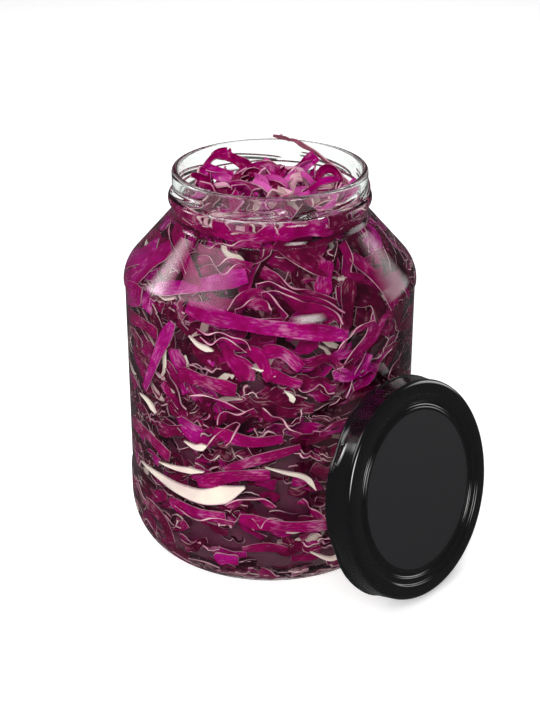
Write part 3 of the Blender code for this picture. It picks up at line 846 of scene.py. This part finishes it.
def random_shred(kinds, kind, angle, along, depth, looseness, shade, draw):
    """A shred behind the glass. They're larger and lie more crosswise where the heap is looser."""
    count = {"flat": 11, "wave": 23, "rib": 9}[kind]
    slope = math.radians(draw.gauss(0, 15 + 27 * looseness))
    size = (0.74 + 0.50 * looseness) * (1.45 if depth > 0.0050 else 1.0)
    phases = [draw.uniform(0, math.tau) for _ in range(3)]
    share = np.linspace(0, 1, count)
    length, swings = shred_line(kind, size, phases, draw)
    offsets = wander(length, count, slope, swings)
    ripple = draw.uniform(0.0001, 0.0007) * np.sin(share * length / draw.uniform(0.003, 0.006) + phases[2])
    copies = 2 if kind == "wave" and draw.random() < 0.4 else 1
    for copy in range(copies):
        # The second leaf of a nested pair follows the first at a small distance.
        shifted = offsets + (copy * draw.uniform(-0.3, 0.3) * 0.002, copy * draw.uniform(0.0017, 0.0027))
        ups = along + shifted[:, 1]
        ups -= max(0.0, ups.max() - HEAP_EDGE)
        radii = np.interp(np.clip(ups, 0, ALONG[-1]), ALONG, INSIDE[:, 0])
        angles = angle + shifted[:, 0] / radii
        if kind == "flat":
            width = draw.uniform(0.0052, 0.0115) * size
            rolls = draw.gauss(0, 0.30) + draw.gauss(0, 1.1) * (share - draw.random())
            centres, outs = on_wall(angles, ups, depth + ripple + 0.5 * width * np.abs(np.sin(rolls)))
            tone = draw.choice((0.18, 0.28, 0.36, 0.43, 0.50, 0.56, 0.62, 0.70)) + 0.09 * looseness
            taper = draw.choice((0.25, 0.6, 1.0))
            widths = width * (0.82 + 0.18 * np.sin(share * 7 + phases[1]))
            widths = widths * np.interp(share, (0, 0.35), (taper, 1))
            thickness, cup, pale = draw.uniform(0.0007, 0.0013), draw.uniform(-0.0016, 0.0002), 0.0
        elif kind == "wave":
            width = draw.uniform(0.0035, 0.0085)
            rolls = draw.choice((-1, 1)) * draw.uniform(0.7, 1.5) + draw.gauss(0, 0.9) * (share - 0.5)
            centres, outs = on_wall(angles, ups, depth + ripple + 0.5 * width * np.abs(np.sin(rolls)))
            tone = draw.uniform(0.20, 0.66)
            widths, cup, pale = width, draw.uniform(-0.0006, 0.0006), 0.0
            thickness = draw.uniform(0.0007, 0.0014) + 0.0004 * np.sin(share * 11 + phases[1])
        else:
            width = draw.uniform(0.0025, 0.0055)
            centres, outs = on_wall(angles, ups, depth + 0.0006)
            rolls = draw.gauss(0, 0.5)
            tone = draw.uniform(0.6, 0.95)
            widths = width * np.interp(share, (0, 0.3, draw.uniform(0.5, 0.8), 1), (0.1, 0.55, 1, 0.2))
            thickness, cup, pale = draw.uniform(0.0010, 0.0018), 0.0, draw.uniform(0.45, 1.0)
        normals = turned_normals(centres, outs, rolls)
        # Shreds of the deeper layers are painted darker by shade: painted shade for their depth.
        kinds[kind].add(centres, normals, widths, thickness, tone - shade, pale, cup)


# Layers of random shreds behind the glass: the least and greatest depth, how many, and how much darker
# they are painted, as painted shade for lying deeper in the heap.
WALL_LAYERS = (
    (0.0012, 0.0026, 600, 0.0),
    (0.0028, 0.0050, 500, 0.08),
    (0.0054, 0.0084, 380, 0.16),
)


def fill_wall(kinds, draw):
    """Random shreds in layers behind the glass, set back where the plainly seen ones lie."""
    taken = seen_places()
    top = np.interp(0.187, INSIDE[:, 1], ALONG)
    for shallow, deep, count, shade in WALL_LAYERS:
        for _ in range(count):
            while True:
                along = draw.uniform(0.008, top)
                if draw.random() < np.interp(along, ALONG, INSIDE[:, 0]) / (BODY_RADIUS - BODY_WALL):
                    break
            angle = draw.uniform(-math.pi, math.pi)
            height = np.interp(along, ALONG, INSIDE[:, 1])
            looseness = min(max((height - 0.075) / 0.06, 0), 1)
            depth = draw.uniform(shallow, deep)
            roll = draw.random()
            flats = np.interp(height, (0.060, 0.120, 0.150, 0.175), (0.60, 0.70, 0.72, 0.92))
            flats += 0.10 if shade > 0.1 else 0.0
            kind = "flat" if roll < flats else "wave" if roll < flats * 0.08 + 0.86 else "rib"
            turn = (taken[:, 0] - angle + math.pi) % math.tau - math.pi
            near = np.hypot(turn * np.interp(along, ALONG, INSIDE[:, 0]), taken[:, 1] - along)
            if shallow < 0.002 and np.any(near < taken[:, 2] + 0.0035):
                depth += 0.0022
            random_shred(kinds, kind, angle, along, depth, looseness, shade, draw)


def fill_floor(kinds, draw):
    """Shreds that lie flat on the floor of the jar."""
    for k in range(150):
        reach, bearing = 0.050 * math.sqrt(draw.random()), draw.uniform(0, math.tau)
        places = wander(draw.uniform(0.016, 0.036), 10, draw.uniform(0, math.pi), [(0.3, 0.03, bearing)])
        places += (reach * math.cos(bearing), reach * math.sin(bearing))
        level = FLOOR + (0.0004 if k % 2 else 0.0016)
        centres = np.column_stack((places, np.full(10, level)))
        ups = np.tile((0.0, 0.0, 1.0), (10, 1))
        normals = turned_normals(centres, ups, draw.gauss(0, 0.08))
        kinds["flat"].add(centres, normals, draw.uniform(0.005, 0.009), 0.0010, draw.uniform(0.25, 0.7))


def faced_from_front(x, y, z):
    """A place or direction given as the photo's camera faces the jar: right, away and up."""
    c, s = math.cos(CAMERA_TURN), math.sin(CAMERA_TURN)
    return x * c - y * s, x * s + y * c, z


# Shreds of the pile that show plainly in the mouth: width, tone, how far their faces turn from upwards
# towards the camera in degrees, and route in millimetres, x to the right, y away and z up.
PILE_SHREDS = (
    (8.0, 0.56, 80, ((-24, 37, 201.5), (-22, 35, 200), (-18, 32, 199), (-13, 29, 197), (-9, 25, 193))),
    (7.0, 0.62, 55, ((-22, 36, 201), (-29, 34, 200.5), (-33, 30, 197), (-30, 25, 194))),
    (6.0, 0.70, 20, ((-4, 26, 200.5), (-1, 23, 198.5), (1, 18, 196), (6, 13, 193))),
    (5.5, 0.60, 60, ((-12, 25, 196), (-6, 24, 197.5), (0, 24, 199), (5, 22, 196))),
    (7.0, 0.66, 85, ((24, 31, 201.5), (20, 28, 199.5), (15, 22, 197.5), (7, 17, 195), (0, 13, 193))),
    (5.0, 0.96, 60, ((22, 27, 199), (18, 23, 198), (12, 17, 195.5), (6, 13, 194))),
    (4.5, 0.94, 45, ((6, 6, 193), (10, 9, 196.5), (17, 11, 197.5), (22, 9, 194))),
    (5.0, 0.58, 85, ((24, 14, 193), (27, 17, 198), (32, 17, 198.5), (36, 13, 195), (34, 9, 192))),
    (4.0, 0.60, 60, ((-40, 9, 198), (-36, 11, 196.5), (-31, 12, 194))),
    (4.5, 0.88, 70, ((-33, 14, 198), (-27, 12, 196.5), (-21, 11, 195.5), (-15, 8, 193))),
    (5.5, 0.62, 55, ((-26, -4, 193), (-17, 0, 195.5), (-8, 1, 194.5), (-2, 5, 196))),
    (5.0, 0.44, 75, ((-16, 10, 193), (-11, 16, 197), (-5, 17, 196), (-1, 13, 193))),
    (5.5, 0.70, 60, ((-36, 20, 197), (-28, 22, 196.5), (-19, 22, 194))),
    (4.5, 0.56, 65, ((0, 10, 194), (5, 12, 197.5), (8, 17, 199.5))),
    (4.5, 0.74, 50, ((20, 0, 193), (27, 3, 196.5), (35, 4, 198))),
    (4.0, 0.92, 80, ((-8, 8, 193), (-3, 9, 196), (4, 7, 196.5), (9, 3, 194))),
)


def pile_level(x, y):
    """Height of the uneven top of the heap, in metres, about the jar's axis."""
    bumps = 0.0012 * math.sin(160 * x + 1) * math.cos(140 * y) + 0.0008 * math.sin(310 * y + 200 * x)
    return PILE_LEVEL + PILE_DOME * (1 - math.hypot(x, y) / MOUTH_RADIUS) + bumps


def leaning_shred(x, y, length, heading, share, draw):
    """A shred of the pile that grows out of it, leans over and curls: its places, faces and rolls."""
    pitch = draw.uniform(0.3, 1.1) + draw.uniform(-0.3, 1.1) * share
    flat = np.cumsum(np.sin(pitch)) * length / len(share)
    rise = np.cumsum(np.cos(pitch)) * length / len(share) - 0.004
    c, s = math.cos(heading), math.sin(heading)
    points = np.stack((x + flat * c, y + flat * s, pile_level(x, y) + rise), 1)
    outs = np.stack((-np.cos(pitch) * c, -np.cos(pitch) * s, np.sin(pitch)), 1)
    return points, outs, draw.gauss(0, 1.1) * share


def lying_shred(x, y, length, heading, share, on_edge, phase, draw):
    """A shred that lies on the pile, flat or on its edge: its places, faces and rolls."""
    swings = ((draw.uniform(0.1, 0.9), draw.uniform(0.010, 0.022), phase),)
    places = wander(length, len(share), heading, swings) + (x, y)
    arch = draw.uniform(0.0, 0.0030) * np.sin(np.pi * share) + draw.uniform(-0.0035, 0.0008)
    levels = np.array([pile_level(*place) for place in places]) + arch
    outs = np.tile((0.0, 0.0, 1.0), (len(share), 1))
    rolls = draw.gauss(0, 0.5) + (math.pi / 2 if on_edge else 0) + draw.gauss(0, 0.6) * share
    return np.column_stack((places, levels)), outs, rolls


def fill_pile(kinds, draw):
    """The shreds in the mouth: those listed and then random ones, kept lower at the back."""
    share = np.linspace(0, 1, 18)
    for width, tone, face, route in PILE_SHREDS:
        points = np.array([faced_from_front(*point) for point in smooth_path(route, 18)]) / 1000
        face = math.radians(face)
        out = faced_from_front(0, -math.sin(face), math.cos(face))
        normals = turned_normals(points, np.tile(out, (18, 1)), 0.55 * np.sin(share * 4 + tone * 30))
        widths = width / 1000 * (0.80 + 0.20 * np.sin(share * 7 + width))
        kinds["flat"].add(points, normals, widths, SHRED_THICKNESS, tone, cup=-0.0012)
    share = np.linspace(0, 1, 12)
    for k in range(210):
        reach, bearing = (MOUTH_RADIUS - 0.003) * math.sqrt(draw.random()), draw.uniform(0, math.tau)
        x, y = reach * math.cos(bearing), reach * math.sin(bearing)
        length, heading = draw.uniform(0.012, 0.030), draw.uniform(0, math.tau)
        kind = "flat" if draw.random() < 0.66 else "wave"
        if kind == "flat" and k % 3 == 0:
            points, outs, rolls = leaning_shred(x, y, length, heading, share, draw)
        else:
            points, outs, rolls = lying_shred(x, y, length, heading, share, kind == "wave", bearing, draw)
        away = points[:, 1] * math.cos(CAMERA_TURN) - points[:, 0] * math.sin(CAMERA_TURN)
        points[:, 2] = np.minimum(points[:, 2], 0.1975 - 0.06 * np.maximum(away, 0))
        inside = np.minimum(1, (MOUTH_RADIUS - 0.0012) / np.hypot(points[:, 0], points[:, 1]))
        points[:, :2] *= inside[:, None]
        width = draw.uniform(0.0030, 0.0062) if kind == "flat" else draw.uniform(0.002, 0.004)
        # Pile shreds take lighter tones than those behind the glass: partly their own colour, partly
        # painted highlight on the open top of the heap.
        tone = draw.choice((0.40, 0.56, 0.64, 0.74, 0.84, 0.96))
        cup, pale = draw.uniform(-0.0014, 0), draw.choice((0, 0, 0, 0, 0.45))
        normals = turned_normals(points, outs, rolls)
        kinds[kind].add(points, normals, width, SHRED_THICKNESS, tone, pale, cup)


def build_core():
    """The packed middle behind the shreds, coloured dark as painted shade for the gaps between them."""
    outline = [(0, FLOOR + 0.0030)]
    for along in np.linspace(0.006, np.interp(0.184, INSIDE[:, 1], ALONG), 26):
        (x, _, z), _ = on_wall(0.0, along, 0.0082 if along > 0.05 else 0.0055)
        outline.append((float(x), float(max(z, FLOOR + 0.0030))))
    outline += [(0.034, 0.1868), (0.020, 0.1890), (0, 0.1900)]
    verts, faces = lathe(outline, 64)
    mesh = bpy.data.meshes.new("cabbage_core")
    mesh.from_pydata([(x + JAR_X, y, z) for x, y, z in verts], [], faces)
    smooth(mesh, 60)
    return add_piece("cabbage_core", mesh, core_material(), stands_for="cabbage_heap")


# The long thin shred that lies over the far side of the lip: angle about the jar, distance from its
# axis and height.
LOOSE_ROUTE = (
    (51, 0.0400, 0.1922),
    (64, 0.0395, 0.1957),
    (86, 0.0398, 0.2000),
    (108, 0.0425, 0.2048),
    (120, 0.0455, 0.2063),
    (130, 0.0502, 0.2064),
)


def build_loose_shred(material):
    """The loose shred, forked at its outer end."""
    shreds = Shreds()
    turns = [math.radians(turn) for turn, _, _ in LOOSE_ROUTE]
    points = [(r * math.cos(a), r * math.sin(a), z) for a, (_, r, z) in zip(turns, LOOSE_ROUTE)]
    centres = smooth_path(points, 48)
    share = np.linspace(0, 1, 48)
    centres[:, 2] += 0.00035 * np.sin(share * 29) * (share < 0.8)
    inwards = -centres * (1, 1, 0)
    inwards /= np.linalg.norm(inwards, axis=1, keepdims=True)
    normals = turned_normals(centres, inwards, 0.5 * np.sin(share * 9 + 1) * (1 - share))
    widths = (0.0031 - 0.0015 * share) * (1 + 0.20 * np.sin(share * 23))
    shreds.add(centres, normals, widths, 0.0009, 0.50, pale=0.10)
    tip = centres[-5]
    fork = smooth_path([tip, tip + (-0.0012, 0.0016, 0.0001), tip + (-0.0020, 0.0042, -0.0002)], 8)
    fork_normals = np.tile((0.3, -0.2, 1.0), (8, 1))
    shreds.add(fork, fork_normals, np.linspace(0.0011, 0.0005, 8), 0.0007, 0.50, pale=0.10)
    mesh = shreds.mesh("loose_shred_leaf")
    return add_piece("loose_shred_leaf", mesh, material, stands_for="loose_shred")


def build_cabbage():
    """All the cabbage: one mesh for each kind of shred, the core and the loose shred."""
    draw = random.Random(7)
    kinds = {"flat": Shreds(), "wave": Shreds(), "rib": Shreds()}
    for kind, width, tone, route in SEEN_SHREDS:
        seen_shred(kinds[kind], kind, width, tone, route)
    fill_wall(kinds, draw)
    fill_floor(kinds, draw)
    fill_pile(kinds, draw)
    leaf = leaf_material()
    names = {"flat": "flat_shreds", "wave": "edge_on_shreds", "rib": "pale_rib_shreds"}
    for kind, shreds in kinds.items():
        add_piece(names[kind], shreds.mesh(names[kind]), leaf, stands_for="cabbage_heap")
    build_core()
    build_loose_shred(leaf)


def from_camera_side(bearing, rise, distance):
    """A place seen from the jar at a bearing to the camera's right and a rise, both in degrees."""
    bearing, rise = math.radians(bearing), math.radians(rise)
    x, y, z = faced_from_front(
        distance * math.sin(bearing) * math.cos(rise),
        -distance * math.cos(bearing) * math.cos(rise),
        distance * math.sin(rise),
    )
    return Vector((x + JAR_X, y, z + 0.12))


def aim_at_jar(thing, place):
    thing.location = place
    thing.rotation_euler = (Vector((JAR_X, 0, 0.12)) - place).to_track_quat("-Z", "Y").to_euler()
    bpy.context.scene.collection.objects.link(thing)


def add_lamp(name, place, size, power):
    """A large lamp that lights the part but isn't mirrored in it."""
    light = bpy.data.lights.new(name, "AREA")
    light.shape = "RECTANGLE"
    light.size, light.size_y = size
    light.energy = power
    lamp = bpy.data.objects.new(name, light)
    lamp.visible_glossy = False
    aim_at_jar(lamp, place)


def add_softbox(name, place, size, brightness, softness):
    """A glowing panel that is only mirrored. It's dimmer towards its edges by its softness."""
    graph = Graph(name)
    where = graph.node("ShaderNodeTexCoord", output="UV")
    glow = None
    for axis in (0, 1):
        off = (graph.node("ShaderNodeSeparateXYZ", None, {0: where}, output=axis) - 0.5).math("ABSOLUTE")
        edge = 1.0 - off.between(0.5 - softness, 0.5)
        glow = edge if glow is None else glow * edge
    colour = graph.mix(glow, (0, 0, 0, 1), (1.0, 0.985, 0.97, 1))
    shader = graph.node(
        "ShaderNodeBsdfPrincipled",
        None,
        {"Base Color": (0, 0, 0, 1), "Emission Color": colour, "Emission Strength": brightness},
    )
    mesh = bpy.data.meshes.new(name)
    w, h = size[0] / 2, size[1] / 2
    mesh.from_pydata([(-w, -h, 0), (-w, h, 0), (w, h, 0), (w, -h, 0)], [], [(0, 1, 2, 3)])
    mesh.uv_layers.new().data.foreach_set("uv", (0, 0, 0, 1, 1, 1, 1, 0))
    mesh.materials.append(graph.finish(shader))
    panel = bpy.data.objects.new(name, mesh)
    panel.visible_diffuse = False
    aim_at_jar(panel, place)


# The panels that the glass and the lid mirror: bearing to the camera's right and rise in degrees,
# distance, size, brightness and softness.
SOFTBOXES = {
    "left_softbox": (-70, 48, 1.0, (0.95, 0.62), 2.6, 0.40),
    "side_softbox": (-104, 25, 1.0, (0.42, 0.50), 12.0, 0.50),
    "right_softbox": (113, 12, 0.9, (0.66, 0.68), 2.5, 0.30),
    "front_softbox": (29, 20, 1.0, (0.48, 0.62), 11.0, 0.38),
}


def build_floor():
    """A pale floor, which the glass and the lid don't mirror."""
    mesh = bpy.data.meshes.new("floor")
    mesh.from_pydata([(-3, -3, 0), (3, -3, 0), (3, 3, 0), (-3, 3, 0)], [], [(0, 1, 2, 3)])
    graph = Graph("pale_floor")
    inputs = {"Base Color": (0.86, 0.86, 0.86, 1), "Roughness": 0.7}
    inputs |= {"Emission Color": (1, 1, 1, 1), "Emission Strength": 0.45}
    mesh.materials.append(graph.finish(graph.node("ShaderNodeBsdfPrincipled", None, inputs)))
    floor = bpy.data.objects.new("floor", mesh)
    floor.visible_glossy = False
    bpy.context.scene.collection.objects.link(floor)


def build_stage():
    """The floor, a dim white surrounding and soft studio lamps."""
    build_floor()
    world = bpy.data.worlds.new("surrounding")
    bpy.context.scene.world = world
    world.use_nodes = True
    background = world.node_tree.nodes["Background"]
    background.inputs["Color"].default_value = (1, 1, 1, 1)
    background.inputs["Strength"].default_value = 0.07
    add_lamp("front_lamp", from_camera_side(-20, 38, 1.4), (1.2, 0.9), 26)
    add_lamp("back_lamp", from_camera_side(180, 55, 1.6), (1.6, 1.2), 21)
    for name, (bearing, rise, distance, size, brightness, softness) in SOFTBOXES.items():
        add_softbox(name, from_camera_side(bearing, rise, distance), size, brightness, softness)


def build_camera():
    """The camera, at the photo's angle."""
    camera = bpy.data.cameras.new("camera")
    camera.sensor_width = 36
    camera.lens = CAMERA_LENS
    camera.clip_start = 0.01
    holder = bpy.data.objects.new("camera", camera)
    flat = CAMERA_DISTANCE * math.cos(CAMERA_PITCH)
    rise = CAMERA_DISTANCE * math.sin(CAMERA_PITCH)
    target = Vector((JAR_X, 0, CAMERA_TARGET_HEIGHT))
    holder.location = target + Vector(faced_from_front(0, -flat, rise))
    holder.rotation_euler = (target - holder.location).to_track_quat("-Z", "Y").to_euler()
    bpy.context.scene.collection.objects.link(holder)
    bpy.context.scene.camera = holder
    bpy.context.scene.view_settings.view_transform = "Standard"


build_jar()
build_lid()
build_cabbage()
build_stage()
build_camera()
